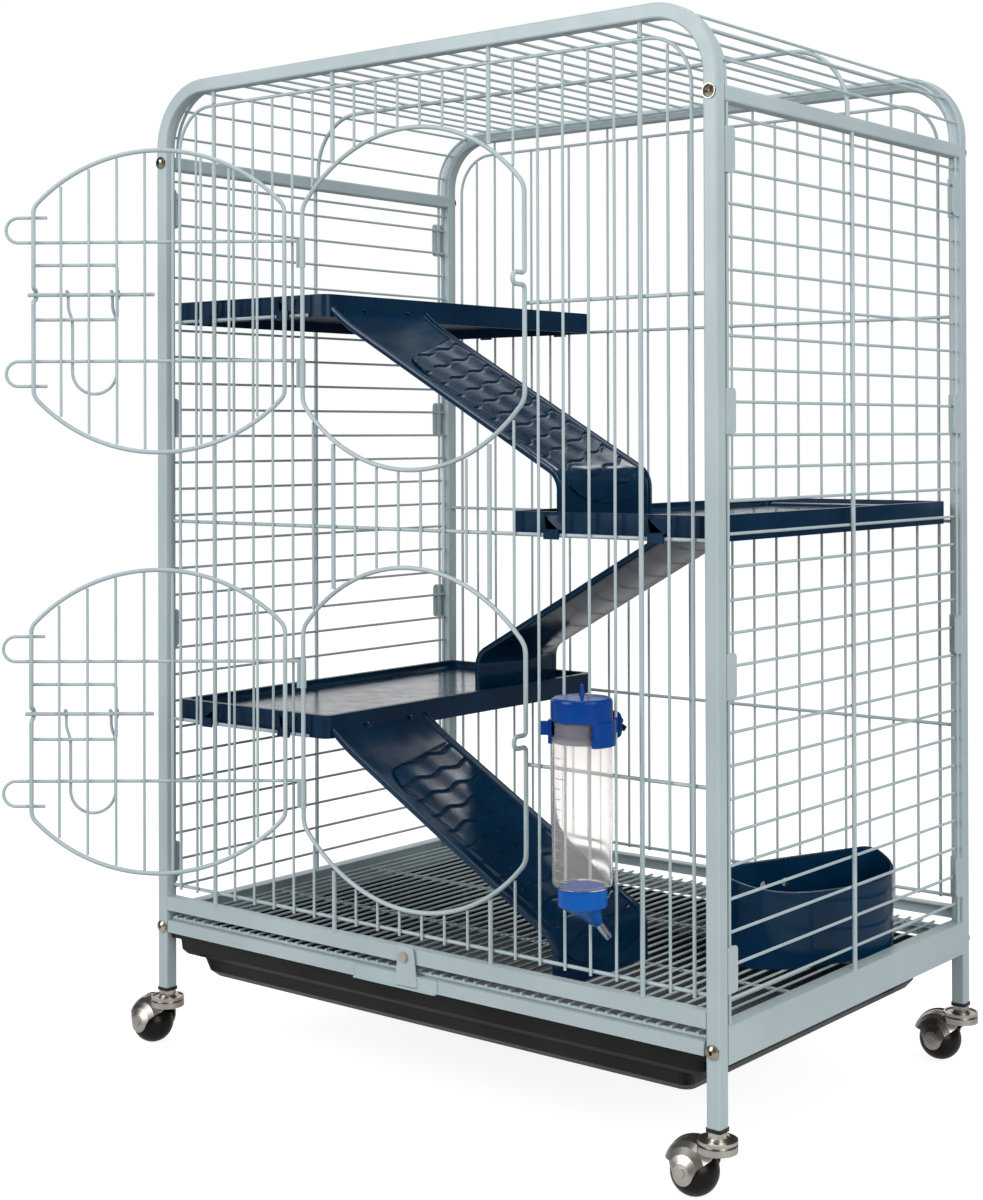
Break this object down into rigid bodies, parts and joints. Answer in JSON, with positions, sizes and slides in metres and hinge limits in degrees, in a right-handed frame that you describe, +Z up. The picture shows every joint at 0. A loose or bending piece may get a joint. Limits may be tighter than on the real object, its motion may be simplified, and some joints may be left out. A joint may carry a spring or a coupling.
{
  "type": "small animal cage",
  "caption": "Tall wire cage for small animals on ball casters, with plastic shelves and ramps, arched wire doors, a slide-out floor grid and a litter tray.",
  "frame": {"origin": "on the floor, at the middle of the four legs", "axes": "+X to the cage's right, -Y out through the doors at the front, +Z up"},
  "size_m": [0.6887, 0.6144, 0.929],
  "materials": {
    "painted_tube": "satin powder coat, pale blue-grey",
    "painted_sheet": "satin powder coat, pale blue-grey",
    "painted_wire": "satin powder coat over welded wire, pale blue-grey",
    "navy_shelf": "moulded, faint grain",
    "navy_ramp": "moulded, wavy grip tiles",
    "navy_bowl": "moulded, smooth",
    "clear_bottle": "clear rigid plastic",
    "blue_plastic": "moulded, smooth",
    "spout_steel": "drawn tube, fine lines",
    "bolt_steel": "yellow zinc",
    "black_plastic": "moulded",
    "black_tray": "moulded, faint grain",
    "caster_chrome": "pressed and plated",
    "black_wheel": "smooth"
  },
  "bodies": {
    "cage": {"front_arch": "painted_tube", "rear_arch": "painted_tube", "top_rail_left": "painted_tube", "top_rail_right": "painted_tube", "bottom_rail_left": "painted_tube", "bottom_rail_right": "painted_tube", "front_cross_rail": "painted_tube", "rear_cross_rail": "painted_tube", "frame_bolts": "bolt_steel", "leg_plugs": "black_plastic", "caster_stems": "caster_chrome", "panel_clips": "painted_tube", "front_panel": "painted_wire", "door_frames": "painted_wire", "back_panel": "painted_wire", "left_panel": "painted_wire", "right_panel": "painted_wire", "roof_panel": "painted_wire", "roof_hoops": "painted_wire", "top_shelf": "navy_shelf", "middle_shelf": "navy_shelf", "lower_shelf": "navy_shelf", "top_ramp": "navy_ramp", "middle_ramp": "navy_ramp", "lower_ramp": "navy_ramp", "food_bowl": "navy_bowl", "bottle_body": "clear_bottle", "bottle_cap": "blue_plastic", "bottle_bracket": "blue_plastic", "bracket_plate": "blue_plastic", "bracket_wing_bolt": "black_plastic", "bottle_base": "blue_plastic", "bottle_spout": "spout_steel"},
    "upper_door": {"upper_door": "painted_wire", "upper_hinge_clips": "painted_sheet"},
    "upper_latch_rod": {"upper_latch_rod": "painted_wire"},
    "upper_latch_handle": {"upper_latch_handle": "painted_wire"},
    "lower_door": {"lower_door": "painted_wire", "lower_hinge_clips": "painted_sheet"},
    "lower_latch_rod": {"lower_latch_rod": "painted_wire"},
    "lower_latch_handle": {"lower_latch_handle": "painted_wire"},
    "floor_grid": {"floor_grid": "painted_wire", "grid_frame": "painted_sheet", "grid_lock_tab": "painted_tube", "grid_lock_screw": "bolt_steel"},
    "tray": {"tray": "black_tray"},
    "spout_ball": {"spout_ball": "spout_steel"},
    "caster_fork_fl": {"caster_hood_fl": "caster_chrome", "caster_axle_fl": "caster_chrome"},
    "caster_wheel_fl": {"caster_ball_fl": "black_wheel"},
    "caster_fork_fr": {"caster_hood_fr": "caster_chrome", "caster_axle_fr": "caster_chrome"},
    "caster_wheel_fr": {"caster_ball_fr": "black_wheel"},
    "caster_fork_rl": {"caster_hood_rl": "caster_chrome", "caster_axle_rl": "caster_chrome"},
    "caster_wheel_rl": {"caster_ball_rl": "black_wheel"},
    "caster_fork_rr": {"caster_hood_rr": "caster_chrome", "caster_axle_rr": "caster_chrome"},
    "caster_wheel_rr": {"caster_ball_rr": "black_wheel"}
  },
  "joints": [
    {"name": "upper_door_hinge", "type": "hinge", "parent": "cage", "child": "upper_door", "pos_m": [-0.1285, -0.21215, 0.7124], "axis": [0, 0, 1], "range_deg": [-5, 143.7]},
    {"name": "upper_latch_slide", "type": "slide", "parent": "upper_door", "child": "upper_latch_rod", "axis": [-0.8059, -0.592, 0], "range_m": [0, 0.0235]},
    {"name": "upper_handle_hinge", "type": "hinge", "parent": "upper_latch_rod", "child": "upper_latch_handle", "pos_m": [-0.2907, -0.3241, 0.719], "axis": [0.8059, 0.592, 0], "range_deg": [0, 150]},
    {"name": "lower_door_hinge", "type": "hinge", "parent": "cage", "child": "lower_door", "pos_m": [-0.1285, -0.21215, 0.3294], "axis": [0, 0, 1], "range_deg": [-7, 141.5]},
    {"name": "lower_latch_slide", "type": "slide", "parent": "lower_door", "child": "lower_latch_rod", "axis": [-0.7826, -0.6225, 0], "range_m": [0, 0.0235]},
    {"name": "lower_handle_hinge", "type": "hinge", "parent": "lower_latch_rod", "child": "lower_latch_handle", "pos_m": [-0.28628, -0.33025, 0.336], "axis": [0.7826, 0.6225, 0], "range_deg": [0, 150]},
    {"name": "floor_grid_slide", "type": "slide", "parent": "cage", "child": "floor_grid", "axis": [0, -1, 0], "range_m": [0, 0.4]},
    {"name": "tray_slide", "type": "slide", "parent": "cage", "child": "tray", "axis": [0, -1, 0], "range_m": [0, 0.4]},
    {"name": "caster_swivel_fl", "type": "hinge", "parent": "cage", "child": "caster_fork_fl", "pos_m": [-0.31365, -0.21115, 0.0456], "axis": [0, 0, 1], "continuous": true},
    {"name": "caster_roll_fl", "type": "hinge", "parent": "caster_fork_fl", "child": "caster_wheel_fl", "pos_m": [-0.33445, -0.21115, 0.0194], "axis": [0, -0.9863, 0.165], "continuous": true},
    {"name": "caster_swivel_fr", "type": "hinge", "parent": "cage", "child": "caster_fork_fr", "pos_m": [0.31365, -0.21115, 0.0456], "axis": [0, 0, 1], "continuous": true},
    {"name": "caster_roll_fr", "type": "hinge", "parent": "caster_fork_fr", "child": "caster_wheel_fr", "pos_m": [0.29285, -0.21115, 0.0194], "axis": [0, -0.9863, 0.165], "continuous": true},
    {"name": "caster_swivel_rl", "type": "hinge", "parent": "cage", "child": "caster_fork_rl", "pos_m": [-0.31365, 0.21115, 0.0456], "axis": [0, 0, 1], "continuous": true},
    {"name": "caster_roll_rl", "type": "hinge", "parent": "caster_fork_rl", "child": "caster_wheel_rl", "pos_m": [-0.33445, 0.21115, 0.0194], "axis": [0, -0.9863, 0.165], "continuous": true},
    {"name": "caster_swivel_rr", "type": "hinge", "parent": "cage", "child": "caster_fork_rr", "pos_m": [0.31365, 0.21115, 0.0456], "axis": [0, 0, 1], "continuous": true},
    {"name": "caster_roll_rr", "type": "hinge", "parent": "caster_fork_rr", "child": "caster_wheel_rr", "pos_m": [0.29285, 0.21115, 0.0194], "axis": [0, -0.9863, 0.165], "continuous": true},
    {"name": "spout_ball_play", "type": "slide", "parent": "cage", "child": "spout_ball", "axis": [0, -0.7071, 0.7071], "range_m": [0, 0.002]}
  ]
}
